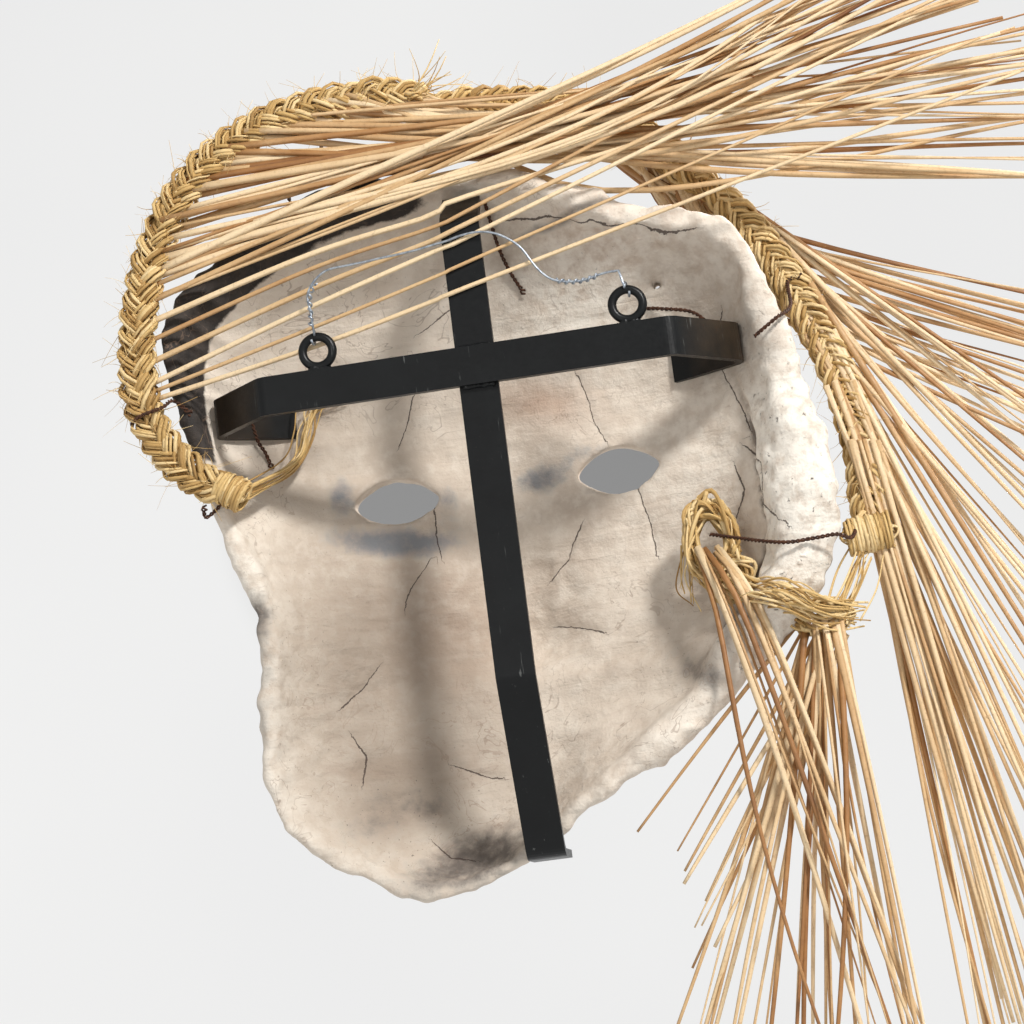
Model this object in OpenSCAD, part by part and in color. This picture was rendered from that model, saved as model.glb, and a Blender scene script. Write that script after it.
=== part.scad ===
// Fired clay wall mask with a palm straw wig, a welded flat-bar hanger and a swinging hanging wire.
// Frame: +Z up, the face looks along -Y, +Y points at the wall, +X is the wearer's left.
// Origin: rear face of the crossbar, at the middle of the cross.

/* [Clay mask] */
// Width of the clay outline
mask_w = 320; // [240:1:400]
// Height of the clay outline
mask_h = 362; // [290:1:440]
// How far the middle of the hollow lies in front of the rim
hollow_depth = 50; // [35:1:70]
// Wall of the clay at the middle of the face
clay_wall = 12; // [8:0.5:18]
// Thickness of the rim on the wearer's left and at the top
rim_wall = 11; // [7:0.5:16]
// Extra thickness of the lumpy rim on the wearer's right
rim_swelling = 13; // [0:0.5:16]

/* [Face] */
// Length of one eye opening
eye_w = 46; // [34:1:56]
// Height of one eye opening
eye_h = 25; // [16:1:30]
// Height of the nose above the face
nose_rise = 34; // [20:1:45]
// Radius of the small tie holes in the forehead
tie_hole_r = 2.2; // [1.5:0.1:3]

/* [Hanger] */
// Width of the flat bar
bar_w = 20; // [12:1:26]
// Thickness of the flat bar
bar_t = 4; // [2.5:0.5:5]
// Length of the straight run of the crossbar
cross_run = 211; // [180:1:250]
// How far the middle of the straight run lies to the wearer's left of the upright
cross_offset = 5.5; // [-12:0.5:12]
// How far each leg of the crossbar reaches outwards past the straight run
leg_reach = 35; // [14:1:44]
// Length of each foot of the crossbar that lies on the clay
foot_length = 38; // [20:1:50]
// Inside radius of the bends in the bars
bend_r = 5; // [3:0.5:8]
// Height of the lower bend of the upright below the crossbar
lower_bend_drop = 159; // [120:1:190]
// Length of the hook under the chin rim
hook_length = 30; // [15:1:45]

/* [Rings and hanging wire] */
// Outer diameter of the rings
ring_od = 20; // [14:0.5:26]
// Thickness of the ring's round section
ring_section = 4.5; // [3:0.25:6]
// Distance between the centres of the rings
ring_pitch = 160; // [120:1:190]
// Diameter of the galvanised hanging wire
wire_d = 1.5; // [1.2:0.1:2.2]
// Running clearance between the wire's eyes and the rings
wire_clearance = 0.7; // [0.4:0.1:1.2]

/* [Wig] */
// Width of the plaited band
braid_w = 20; // [14:1:26]
// Thickness of the plaited band
braid_t = 11; // [8:0.5:14]
// Diameter of one palm straw
straw_d = 2.2; // [1.6:0.1:3]
// Diameter of the rusty tie wire, twisted double
tie_d = 2.6; // [1.6:0.1:3.2]

/* [Hidden] */
$fn = 48;
nominal_w = 320;
nominal_h = 362;
centre_z = -80;
overlap = 0.6;
nominal_layer = 3.6;
layer = nominal_layer + straw_d - 2.2;

LEFT_LOCKS = [for (i = [1:8]) str("left_straw_lock_", i)];
CROWN_LOCKS = [for (i = [1:3]) str("crown_straw_lock_", i)];
RIGHT_LOCKS = [for (i = [1:6]) str("right_straw_lock_", i)];
LOWER_LOCKS = [for (i = [1:6]) str("lower_straw_lock_", i)];
HANGER = [
  "crossbar", "upright_bar", "crossing_weld", "left_ring", "right_ring",
  "left_ring_weld", "right_ring_weld", "hanging_wire"
];
TIES = [
  "left_foot_tie", "right_foot_tie", "top_foot_tie", "left_braid_tie", "left_knot_tie",
  "crown_tie", "right_braid_tie", "ear_tie"
];
BANDS = [
  "left_braid", "crown_braid", "right_braid", "left_band_knot", "left_knot_tail",
  "right_band_tangle", "right_band_wrap", "right_band_gather"
];

clay_colour = "#dccbbd";
black_paint = "#1c1f1f";
galvanised = "#aab2ba";
rusty = "#4a2f24";
plait_colour = "#cbab6e";
straw_colours = ["#cfab78", "#dcbf90", "#c39a64", "#d8b27c"];

// ---- General geometry ----

// A point on the head at nominal size, stretched with the clay outline.
function on_head(x, y, z) = [x * mask_w / nominal_w, y, z * mask_h / nominal_h];
function unit(v) = v / norm(v);
function ease(t) = sin(90 * clamp(t, 0, 1));
function clamp(v, low, high) = min(max(v, low), high);
function bump(a, b) = exp(-a * a - b * b);

// Smooth curve through values or points a, b, c, d, at t between b and c.
function spline(a, b, c, d, t) =
  0.5 * (2 * b + (c - a) * t + (2 * a - 5 * b + 4 * c - d) * t * t
  + (3 * b - a - 3 * c + d) * t * t * t);
function at(list, i) = list[clamp(i, 0, len(list) - 1)];
function curve(points, steps) = [
  for (i = [0:len(points) - 2], s = [0:steps - 1])
    spline(at(points, i - 1), points[i], points[i + 1], at(points, i + 2), s / steps),
  points[len(points) - 1]
];

// Frames carried along a path without twisting.
function tangent(path, i) = unit(at(path, i + 1) - at(path, i - 1));
function first_normal(t) = abs(t[1]) < 0.9 ? unit(cross(t, [0, 1, 0])) : [1, 0, 0];
function carried(n, t) = unit(n - (n * t) * t);
function normals(path, i = 0, found = []) =
  i == len(path) ? found
  : normals(path, i + 1, concat(found,
      [carried(i == 0 ? first_normal(tangent(path, 0)) : found[i - 1], tangent(path, i))]));

// Closed tube along a path. widths and depths are the section's half sizes at each point.
module sweep(path, widths, depths, sides) {
  count = len(path);
  across = normals(path);
  points = [
    for (i = [0:count - 1], k = [0:sides - 1])
      path[i] + widths[i] * cos(360 * k / sides) * across[i]
      + depths[i] * sin(360 * k / sides) * cross(across[i], tangent(path, i))
  ];
  polyhedron(
    points = points,
    faces = concat(
      [[for (k = [0:sides - 1]) k]],
      [[for (k = [0:sides - 1]) count * sides - 1 - k]],
      [for (i = [0:count - 2], k = [0:sides - 1])
        [i * sides + k, (i + 1) * sides + k, i * sides + (k + 1) % sides]],
      [for (i = [0:count - 2], k = [0:sides - 1])
        [(i + 1) * sides + k, (i + 1) * sides + (k + 1) % sides, i * sides + (k + 1) % sides]]
    ),
    convexity = 8
  );
}

// Round tube of one diameter through hand-chosen points.
module tube(points, d, steps = 4, sides = 8) {
  path = curve(points, steps);
  size = [for (p = path) d / 2];
  sweep(path, size, size, sides);
}

// Flat bar along a path in its own plane, with rounded bends, extruded to its width.
function bend_points(path, i, r) =
  let (
    a = unit(path[i - 1] - path[i]),
    b = unit(path[i + 1] - path[i]),
    half = acos(clamp(a * b, -1, 1)) / 2,
    back = r / tan(half),
    centre = path[i] + unit(a + b) * r / sin(half),
    turn = sign(a[0] * b[1] - a[1] * b[0]),
    from = path[i] + a * back - centre,
    start = atan2(from[1], from[0])
  )
  [for (k = [0:6]) centre + r * [
    cos(start - turn * (180 - 2 * half) * k / 6),
    sin(start - turn * (180 - 2 * half) * k / 6)
  ]];
function bent(path, r) = concat(
  [path[0]],
  [for (i = [1:len(path) - 2]) each bend_points(path, i, r)],
  [path[len(path) - 1]]
);
function side(path, i, half) =
  let (t = unit(at(path, i + 1) - at(path, i - 1))) path[i] + half * [-t[1], t[0]];
module flat_bar(path, w, t) {
  line = bent(path, bend_r + t / 2);
  edge = [for (i = [0:len(line) - 1]) side(line, i, t / 2)];
  other = [for (i = [len(line) - 1:-1:0]) side(line, i, -t / 2)];
  linear_extrude(height = w, center = true) polygon(concat(edge, other));
}

// A lock: straws spread evenly from one side to the other, each through the same number of points.
module lock(first, last, count) {
  half = [for (p = first) straw_d / 2];
  for (k = [0:count - 1])
    sweep([for (j = [0:len(first) - 1]) first[j] + (last[j] - first[j]) * k / (count - 1)],
      half, half, 6);
}

// ---- Clay shell ----

// Outline of the torn clay slab: radius and rim height every 15 degrees from +X towards +Z.
rim_step = 15;
rim_radius = [
  142, 156, 190, 214, 207, 200, 190, 180, 182, 196, 176, 168,
  162, 166, 150, 146, 142, 146, 164, 190, 192, 186, 152, 136
];
rim_y = [
  -24, -25, -28, -34, -32, -28, -24, -24, -28, -34, -32, -30,
  -30, -32, -32, -34, -38, -42, -50, -54, -50, -38, -28, -24
];
function around(list, angle) =
  let (n = len(list), u = ((angle + 360) % 360) / rim_step, i = floor(u))
  spline(list[(i + n - 1) % n], list[i % n], list[(i + 1) % n], list[(i + 2) % n], u - i);
function stretch(angle) =
  norm([cos(angle) * mask_w / nominal_w, sin(angle) * mask_h / nominal_h]);
function rim_thickness(angle) = rim_wall + rim_swelling * bump((angle - 202) / 38, 0);
function outer_radius(angle) = around(rim_radius, angle) * stretch(angle);
function inner_radius(angle) = outer_radius(angle) - rim_thickness(angle);
centre_height = centre_z * mask_h / nominal_h;
function angle_at(x, z) = (atan2(z - centre_height, x) + 360) % 360;
function share_at(x, z, limit) = min(norm([x, z - centre_height]) / limit, 1);

// Face laid out in equal parts of the head: brow, nose and chin in thirds, one eye between the eyes.
hair_top = 150 * mask_h / nominal_h;
chin_z = -250 * mask_h / nominal_h;
eye_z = (hair_top + chin_z) / 2;
eye_x = mask_w * 3 / 16;
brow_z = eye_z + eye_h;
nose_tip_z = (brow_z + chin_z) / 2 + 6;
mouth_z = nose_tip_z + (chin_z - nose_tip_z) * 0.38;
nose_half = 17;

function nose(x, z, spread) =
  let (
    t = clamp((brow_z - z) / (brow_z - nose_tip_z), 0, 1),
    above = max(z - brow_z, 0) / 22,
    below = max(nose_tip_z - z, 0) / 12
  )
  nose_rise * (0.22 + 0.78 * pow(t, 1.3)) * bump(above, below) * bump(x / (spread * (11 + 8 * t)), 0);
function wings(x, z) = 13 * bump((abs(x) - nose_half) / 8, (z - nose_tip_z + 2) / 10);
function brow(x, z) = 7 * bump((abs(x) - 50) / 36, (z - brow_z - 4) / 10);
function socket(x, z) = bump((abs(x) - eye_x) / 34, (z - eye_z) / 22);
function lid(x, z) =
  let (e = norm([(abs(x) - eye_x) / eye_w, (z - eye_z) / eye_h]) * 2)
  5 * bump((e - 1.25) / 0.28, 0);
function cheek(x, z) = 9 * bump((abs(x) - 76) / 38, (z - nose_tip_z - 12) / 36);
function lips(x, z) =
  let (half = 36 - 0.05 * abs(z - mouth_z))
  bump(pow(x / half, 2), 0) * (8 * bump((z - mouth_z - 6) / 5, 0) + 9 * bump((z - mouth_z + 7) / 6, 0));
function chin(x, z) = 13 * bump(x / 34, (z - chin_z - 28) / 20);
function front_relief(x, z) =
  nose(x, z, 1) + wings(x, z) + brow(x, z) - 9 * socket(x, z) + lid(x, z)
  + cheek(x, z) + lips(x, z) + chin(x, z);
function back_relief(x, z) = 0.55 * nose(x, z, 1.5) - 5 * socket(x, z) + 0.5 * cheek(x, z);

// The uneven rim height fades towards the middle, where the shell has one level.
mid_level = -33;
function level(a, r) = mid_level + (around(rim_y, a) - mid_level) * r * r;
function back_y(x, z) =
  let (a = angle_at(x, z), r = share_at(x, z, inner_radius(a)))
  level(a, r) - hollow_depth * pow(1 - pow(r, 2.8), 0.7) - back_relief(x, z) * (1 - pow(r, 8));
function front_y(x, z) =
  let (a = angle_at(x, z), r = share_at(x, z, outer_radius(a)))
  level(a, r) - (hollow_depth + clay_wall) * pow(1 - pow(r, 3.4), 0.6)
  - front_relief(x, z) * (1 - pow(r, 8));

shell_rings = 22;
shell_steps = 84;
lip_points = 3;
function ring_share(i) = sin(90 * i / shell_rings);
function polar(a, r) = [r * cos(a), centre_height + r * sin(a)];
function back_point(a, i) =
  let (p = polar(a, inner_radius(a) * ring_share(i))) [p[0], back_y(p[0], p[1]), p[1]];
function front_point(a, i) =
  let (p = polar(a, outer_radius(a) * ring_share(i))) [p[0], front_y(p[0], p[1]), p[1]];
function lip_point(a, k) =
  let (t = 180 * k / (lip_points + 1),
    mid = (inner_radius(a) + outer_radius(a)) / 2,
    p = polar(a, mid - rim_thickness(a) / 2 * cos(t)))
  [p[0], around(rim_y, a) + rim_thickness(a) * 0.35 * sin(t), p[1]];

module clay_body() {
  n = shell_steps;
  rows = 2 * shell_rings + lip_points;
  turn = [for (s = [0:n - 1]) 360 * s / n];
  points = concat(
    [for (i = [1:shell_rings], a = turn) back_point(a, i)],
    [for (k = [1:lip_points], a = turn) lip_point(a, k)],
    [for (i = [shell_rings:-1:1], a = turn) front_point(a, i)],
    [[0, back_y(0, centre_height), centre_height], [0, front_y(0, centre_height), centre_height]]
  );
  polyhedron(
    points = points,
    faces = concat(
      [for (s = [0:n - 1]) [rows * n, (s + 1) % n, s]],
      [for (s = [0:n - 1]) [rows * n + 1, (rows - 1) * n + s, (rows - 1) * n + (s + 1) % n]],
      [for (i = [0:rows - 2], s = [0:n - 1]) [i * n + s, i * n + (s + 1) % n, (i + 1) * n + s]],
      [for (i = [0:rows - 2], s = [0:n - 1])
        [i * n + (s + 1) % n, (i + 1) * n + (s + 1) % n, (i + 1) * n + s]]
    ),
    convexity = 10
  );
}

// Almond eye opening: two arcs that meet at the corners, cut right through.
module eye_opening() {
  r = (eye_w * eye_w / 4 + eye_h * eye_h / 4) / eye_h;
  rotate([90, 0, 0])
    linear_extrude(height = 160)
      intersection() {
        translate([0, r - eye_h / 2]) circle(r = r, $fn = 96);
        translate([0, eye_h / 2 - r]) circle(r = r, $fn = 96);
      }
}

tie_holes = [on_head(-55, 0, 62), on_head(-94, 0, 42)];
module mask_shell() {
  color(clay_colour)
    difference() {
      clay_body();
      for (s = [-1, 1]) translate([s * eye_x, 0, eye_z]) eye_opening();
      for (p = tie_holes) translate(p) rotate([90, 0, 0]) cylinder(r = tie_hole_r, h = 160);
    }
}

// ---- Hanger ----

rear_gap = bar_t / 2;
function foot_x(s, share) = cross_offset + s * (cross_run / 2 + leg_reach - share * foot_length);
function foot_rest(x, z) = back_y(x, z) + bar_t / 2 - overlap;
foot_z = 0;
function foot_path(s) =
  let (
    bend_x = cross_offset + s * cross_run / 2,
    corner_x = bend_x + s * leg_reach,
    tip_x = corner_x - s * foot_length
  )
  [
    [tip_x, foot_rest(tip_x, foot_z)], [corner_x, foot_rest(corner_x, foot_z)],
    [bend_x, -rear_gap]
  ];
module crossbar() {
  left = foot_path(1);
  right = foot_path(-1);
  color(black_paint)
    flat_bar([right[0], right[1], right[2], left[2], left[1], left[0]], bar_w, bar_t);
}

upright_y = -1.5 * bar_t;
top_leg_z = centre_height + inner_radius(90) - 4;
upright_top = top_leg_z - 18;
chin_edge = centre_height - outer_radius(270);
hook_z = chin_edge - bar_t / 2 - overlap;
hook_y = around(rim_y, 270) + rim_thickness(270) * 0.35 + bar_t / 2;
module upright_bar() {
  color(black_paint)
    rotate([0, -90, 0])
      flat_bar([
        [top_leg_z, back_y(0, top_leg_z) + bar_t / 2 - overlap],
        [upright_top, upright_y],
        [-lower_bend_drop, upright_y],
        [hook_z, hook_y],
        [hook_z, hook_y - hook_length]
      ], bar_w, bar_t);
}

weld_r = 1.6;
module crossing_weld() {
  color(black_paint)
    for (s = [-1, 1])
      translate([-bar_w * 0.4, -bar_t, s * bar_w / 2])
        rotate([0, 90, 0]) cylinder(r = weld_r, h = bar_w * 0.8);
}

ring_r = (ring_od - ring_section) / 2;
ring_y = -ring_section / 2;
ring_z = bar_w / 2 + ring_od / 2 - overlap;
module ring(s) {
  color(black_paint)
    translate([s * ring_pitch / 2, ring_y, ring_z])
      rotate([90, 0, 0])
        rotate_extrude() translate([ring_r, 0]) circle(d = ring_section);
}
module ring_weld(s) {
  bead = ring_section * 0.8;
  color(black_paint)
    for (k = [-1, 1])
      translate([s * ring_pitch / 2 + k * bead * 0.6, -bead, bar_w / 2 + overlap]) sphere(r = bead);
}
module left_ring() { ring(1); }
module right_ring() { ring(-1); }
module left_ring_weld() { ring_weld(1); }
module right_ring_weld() { ring_weld(-1); }

// The wire swings on the tops of the rings. Its middle is formed by hand: points from left to right,
// sideways from the left ring and up from the swing axis.
axis_z = ring_z + ring_r;
eye_r = ring_section / 2 + wire_clearance + wire_d / 2;
straw_gap = 0.5;
wire_y = -bar_t + straw_d + straw_gap + wire_d / 2;
wire_form = [
  [1, 12], [1, 23], [-8, 33], [-22, 35], [-50, 36.5], [-70, 38.5], [-80, 41], [-91, 41.5],
  [-101, 38], [-110, 30], [-118, 17], [-126, 10], [-138, 7.5], [-150, 9.5], [-158, 10]
];
function eye_loop(x, shift, turns) = [
  for (a = [0:30:turns])
    [x + shift * a / turns, ring_y + eye_r * cos(a), axis_z + eye_r * sin(a)]
];
module hanging_wire() {
  left_x = ring_pitch / 2;
  eye_shift = wire_d * 1.3;
  first = eye_loop(left_x, eye_shift, 330);
  last = eye_loop(-left_x, -eye_shift, 330);
  middle = [
    for (p = wire_form)
      [left_x + p[0] * ring_pitch / 160, wire_y, axis_z + p[1]]
  ];
  loop_in = [for (i = [len(first) - 1:-1:0]) first[i]];
  color(galvanised)
    tube(concat(loop_in, middle, last), wire_d, 2);
}

// ---- Rusty tie wires, each twisted double ----

module tie(points) { color(rusty) tube(points, tie_d, 4); }
function in_clay(x, z, depth) = [x, back_y(x, z) - depth, z];
function over_clay(x, z, height) = [x, back_y(x, z) + height, z];
module left_foot_tie() {
  x = foot_x(1, 0.55);
  tie([over_clay(x + 6, bar_w / 2 + 6, 1), over_clay(x + 4, bar_w / 2 + 1, bar_t + 1.5),
    over_clay(x + 2, 0, bar_t + 1.6), over_clay(x, -bar_w / 2 - 1, bar_t + 1.2),
    over_clay(x - 3, -bar_w / 2 - 8, 2), in_clay(x - 5, -bar_w / 2 - 16, 3)]);
}
module right_foot_tie() {
  x = foot_x(-1, 0.35);
  tie([in_clay(x + 36, bar_w / 2 + 21, 3), over_clay(x + 28, bar_w / 2 + 19, 2),
    over_clay(x + 12, bar_w / 2 + 14, 3), over_clay(x + 4, bar_w / 2 + 4, bar_t + 1),
    over_clay(x, 0, bar_t + 1.6), over_clay(x - 1, -bar_w / 2 + 2, bar_t + 1.4)]);
}
module top_foot_tie() {
  z = top_leg_z;
  tie([in_clay(-bar_w / 2 - 2, z + 1, 3), over_clay(-bar_w / 2 - 3, z - 6, 3),
    over_clay(-bar_w / 2 - 5, z - 22, 2), over_clay(-bar_w / 2 - 9, z - 34, 2),
    in_clay(-bar_w / 2 - 14, z - 44, 3)]);
}
function rim_at(angle, beyond, y) =
  let (p = polar(angle, outer_radius(angle) + beyond)) [p[0], around(rim_y, angle) + y, p[1]];

// ---- Plaited bands ----

left_route = [
  [134, -12, -44], [150, -11, -36], [166, -15, -18], [178, -19, 10], [177, -21, 50],
  [164, -24, 94], [138, -28, 132], [98, -32, 155], [56, -34, 161], [12, -36, 158]
];
crown_route = [[14, -46, 154], [-26, -58, 153], [-64, -64, 145], [-98, -64, 124], [-131, -61, 88]];
right_route = [
  [-130, -60, 90], [-152, -60, 54], [-169, -60, 18], [-182, -58, -24], [-187, -56, -68], [-184, -50, -104]
];
function band_path(route) = curve([for (p = route) on_head(p[0], p[1], p[2])], 4);
module band(route) {
  path = band_path(route);
  n = len(path) - 1;
  swell = [for (i = [0:n]) 0.75 + 0.25 * ease(i / 4) * ease((n - i) / 4)];
  color(plait_colour)
    sweep(path, swell * braid_w / 2, swell * braid_t / 2, 12);
}
module left_braid() { band(left_route); }
module crown_braid() { band(crown_route); }
module right_braid() { band(right_route); }

// Loose bundles of fibre: a fat tube that swells in the middle.
module bundle(points, ends, middle, flat = 1) {
  path = curve(points, 4);
  n = len(path) - 1;
  size = [for (i = [0:n]) ends + (middle - ends) * sin(180 * i / n)];
  color(plait_colour) sweep(path, size, size * flat, 10);
}
function band_end(route, i) = on_head(route[i][0], route[i][1], route[i][2]);
knot = band_end(left_route, 0);
module left_band_knot() {
  bundle([knot + [9, 0, 5], knot, knot + [-9, -1, -6]], 5, 9, 0.8);
}
module left_knot_tail() {
  a = knot + [-8, -1, -4];
  b = knot + [-22, 0, 12];
  c = knot + [-38, 0, 42];
  bundle([a, over_clay(b[0], b[2], 22), over_clay((b[0] + c[0]) / 2, (b[2] + c[2]) / 2, 14),
    over_clay(c[0], c[2] - 12, 8)], 1.5, 4);
}
tangle = on_head(-108, 0, -106);
tangle_end = over_clay(tangle[0] - 14, tangle[2] - 20, 30);
module right_band_tangle() {
  bundle([over_clay(tangle[0] + 6, tangle[2] + 24, 14), over_clay(tangle[0], tangle[2] + 8, 24),
    over_clay(tangle[0] - 4, tangle[2] - 8, 26), tangle_end],
    4, 11, 0.7);
}
wrap = band_end(right_route, 5);
module right_band_wrap() {
  bundle([wrap + [11, 4, -3], wrap + [0, 4, -4], wrap + [-11, 3, -1]], 6, 10, 0.8);
}
gather = on_head(-154, -28, -148);
module right_band_gather() {
  bundle([tangle_end, (tangle_end + gather) / 2 + [0, 2, 0], gather, gather + [-14, -2, -2]], 5, 9, 0.8);
}

module left_braid_tie() {
  a = on_head(176, -19, 4);
  tie([a + [9, 0, -4], a + [2, braid_t / 2 + 1, -2], a + [-10, braid_t / 2 - 1, 1],
    rim_at(29, -14, 2), in_clay(foot_x(1, 0) + 8, a[2] - 2, 3)]);
}
module left_knot_tie() {
  tie([knot + [3, -3, -2], knot + [11, -5, -8], knot + [16, -3, -11], knot + [15, 1, -6]]);
}
module crown_tie() {
  a = on_head(70, -33, 160);
  under = -braid_t / 2;
  tie([a + [6, -2, 6], a + [4, under - 2, 0], a + [0, under - 6, -14],
    rim_at(65, 8, -16), rim_at(65, -5, -18)]);
}
module right_braid_tie() {
  a = on_head(-164, -60, 30);
  angle = 180 - asin((bar_w / 2 + 4 - centre_height) / outer_radius(150));
  tie([rim_at(angle, -20, 0), rim_at(angle, -6, 7), rim_at(angle - 1, 4, -8), a + [2, braid_t / 2, 2],
    a + [-6, braid_t / 2 - 2, 4]]);
}
module ear_tie() {
  tie([over_clay(tangle[0] - 2, tangle[2] + 6, 26), rim_at(192, -33, 3), rim_at(190, -13, 10.5),
    rim_at(190, 1, 4), rim_at(190, 6, -10), wrap + [6, 6, 2]]);
}

// ---- Straws ----

// The left fringe is rooted in the left band, gathered at a waist above the wearer's right temple,
// and spreads from there. Each lock lies in its own layer.
waist = on_head(-72, 0, 122);
waist_half = 7;
left_tips = [
  [-205, 184], [-238, 182], [-268, 174], [-294, 160], [-312, 140], [-320, 116], [-318, 90], [-310, 64]
];
module left_lock(i) {
  path = band_path(left_route);
  y = -6 - layer * i;
  root = [0, (3.5 - i) * layer * 0.3, 0];
  waist_z = waist[2] + 8 - 2 * i;
  tip = on_head(left_tips[i][0], y - 5, left_tips[i][1]);
  color(straw_colours[i % 4])
    lock(
      [path[13 + 3 * i] + root, [waist[0], y, waist_z - waist_half], tip + [3, 0, -13]],
      [path[15 + 3 * i] + root, [waist[0], y, waist_z + waist_half], tip + [-3, 0, 13]],
      4);
}

// Three straws lie over the upright and under the hanging wire.
over_upright = -bar_t + straw_d / 2 + 0.1;
edge = bar_w / 2 + 2;
function lone_way(root, by_ring, near, far, tip) = [
  on_head(root[0], root[1], root[2]), [ring_pitch / 2, -7, by_ring],
  [edge, over_upright, near], [-edge, over_upright, far], on_head(tip[0], tip[1], tip[2])
];
lone_ways = [
  lone_way([175, -20, 11], 24, 38, 44, [-292, -9, 110]),
  lone_way([176, -20.5, 15], 34, 50, 57, [-275, -9, 131]),
  lone_way([177, -21, 19], 45, 63, 70, [-250, -9, 150])
];
module lone_straws() {
  half = [for (k = [0:4]) straw_d / 2];
  color(straw_colours[1])
    for (way = lone_ways) sweep(way, half, half, 6);
}

// The crown locks pass outside the forehead and leave past the wearer's right temple.
crown_ways = [
  [
    [[-57, -69, 152], [-136, -76, 78], [-318, -71, -2]],
    [[-57, -69, 139], [-134, -76, 64], [-316, -71, -26]]
  ],
  [
    [[-86, -68, 145], [-142, -72, 62], [-314, -67, -34]],
    [[-84, -68, 131], [-136, -72, 46], [-312, -67, -56]]
  ],
  [
    [[-112, -67, 124], [-148, -69, 42], [-310, -63, -62]],
    [[-104, -67, 111], [-140, -69, 24], [-308, -63, -84]]
  ]
];
// The right locks are rooted across the right band, each in its own layer, and fan downwards.
right_ways = [
  [[[-140, -66, 88], [-312, -57, -96]], [[-126, -66, 84], [-300, -57, -132]]],
  [[[-159, -62, 56], [-290, -54, -160]], [[-145, -62, 52], [-282, -54, -190]]],
  [[[-172, -59, 28], [-272, -51, -215]], [[-158, -59, 24], [-264, -51, -245]]],
  [[[-181, -56, 2], [-258, -48, -262]], [[-167, -56, -2], [-252, -48, -290]]],
  [[[-188, -53, -26], [-248, -45, -310]], [[-175, -53, -26], [-240, -45, -335]]],
  [[[-194, -50, -58], [-232, -42, -345]], [[-181, -50, -58], [-216, -42, -365]]]
];
// The lower locks hang from the tangle, the gather and the wrap.
lower_ways = [
  [
    [[-98, -36, -104], [-112, -16, -160], [-150, -20, -376]],
    [[-108, -36, -106], [-128, -16, -160], [-176, -20, -370]]
  ],
  [[[-148, -33, -148], [-68, -36, -246]], [[-162, -33, -156], [-72, -36, -298]]],
  [[[-147, -29.5, -150], [-62, -32.5, -360]], [[-161, -29.5, -150], [-90, -32.5, -372]]],
  [[[-147, -26, -150], [-98, -29, -380]], [[-161, -26, -150], [-128, -29, -386]]],
  [[[-147, -22.5, -150], [-134, -24.5, -388]], [[-161, -22.5, -150], [-162, -24.5, -388]]],
  [[[-178, -54, -108], [-182, -46, -384]], [[-192, -54, -106], [-208, -46, -378]]]
];
right_lift = 1.5 * (layer - nominal_layer);
module placed_lock(ways, tint, count, lift = 0) {
  color(straw_colours[tint % 4])
    lock([for (p = ways[0]) on_head(p[0], p[1] + lift, p[2])],
      [for (p = ways[1]) on_head(p[0], p[1] + lift, p[2])], count);
}

mask_shell();
crossbar();
upright_bar();
crossing_weld();
left_ring();
right_ring();
left_ring_weld();
right_ring_weld();
hanging_wire();
left_foot_tie();
right_foot_tie();
top_foot_tie();
left_braid_tie();
left_knot_tie();
crown_tie();
right_braid_tie();
ear_tie();
left_braid();
crown_braid();
right_braid();
left_band_knot();
left_knot_tail();
right_band_tangle();
right_band_wrap();
right_band_gather();
lone_straws();
for (i = [0:7]) left_lock(i);
for (i = [0:2]) placed_lock(crown_ways[i], i, 4);
for (i = [0:5])
  placed_lock(right_ways[i], i + 1, 3, i * right_lift);
for (i = [0:5]) placed_lock(lower_ways[i], i + 2, 4);
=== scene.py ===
"""Looks for the clay wall mask with its palm straw wig, welded hanger and hanging wire.

Frame: metres, +Z up, the face looks along -Y, +X is the wearer's left.
Lengths inside the helpers are in millimetres and turn into metres when a mesh is made.
"""

import itertools
import math

import bpy
import numpy as np
from mathutils import Matrix, Vector
from mathutils.bvhtree import BVHTree


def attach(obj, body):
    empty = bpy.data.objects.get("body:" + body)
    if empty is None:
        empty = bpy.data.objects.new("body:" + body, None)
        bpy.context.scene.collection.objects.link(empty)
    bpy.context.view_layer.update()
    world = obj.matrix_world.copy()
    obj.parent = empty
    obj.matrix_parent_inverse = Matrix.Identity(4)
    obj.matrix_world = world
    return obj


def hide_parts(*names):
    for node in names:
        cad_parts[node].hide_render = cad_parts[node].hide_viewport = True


MM = 0.001
rng = np.random.default_rng(11)


# ---- Camera ----


def make_camera():
    """Seen from behind, 1.3 m away, a little from below and rolled clockwise."""
    azimuth, elevation, roll = (math.radians(a) for a in (186, -10, 7.2))
    back = Vector(
        (
            math.sin(azimuth) * math.cos(elevation),
            -math.cos(azimuth) * math.cos(elevation),
            math.sin(elevation),
        )
    )
    right = (-back).cross(Vector((0, 0, 1))).normalized()
    up = right.cross(-back)
    x = right * math.cos(roll) - up * math.sin(roll)
    y = right * math.sin(roll) + up * math.cos(roll)
    place = Vector((-0.009, 0, -0.0778)) + back * 1.3
    data = bpy.data.cameras.new("camera")
    data.lens, data.sensor_width = 91.4, 36
    data.clip_start, data.clip_end = 0.05, 60
    camera = bpy.data.objects.new("camera", data)
    camera.matrix_world = Matrix(
        [[x[i], y[i], back[i], place[i]] for i in range(3)] + [[0, 0, 0, 1]]
    )
    bpy.context.scene.collection.objects.link(camera)
    bpy.context.scene.camera = camera


# ---- Materials ----


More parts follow.
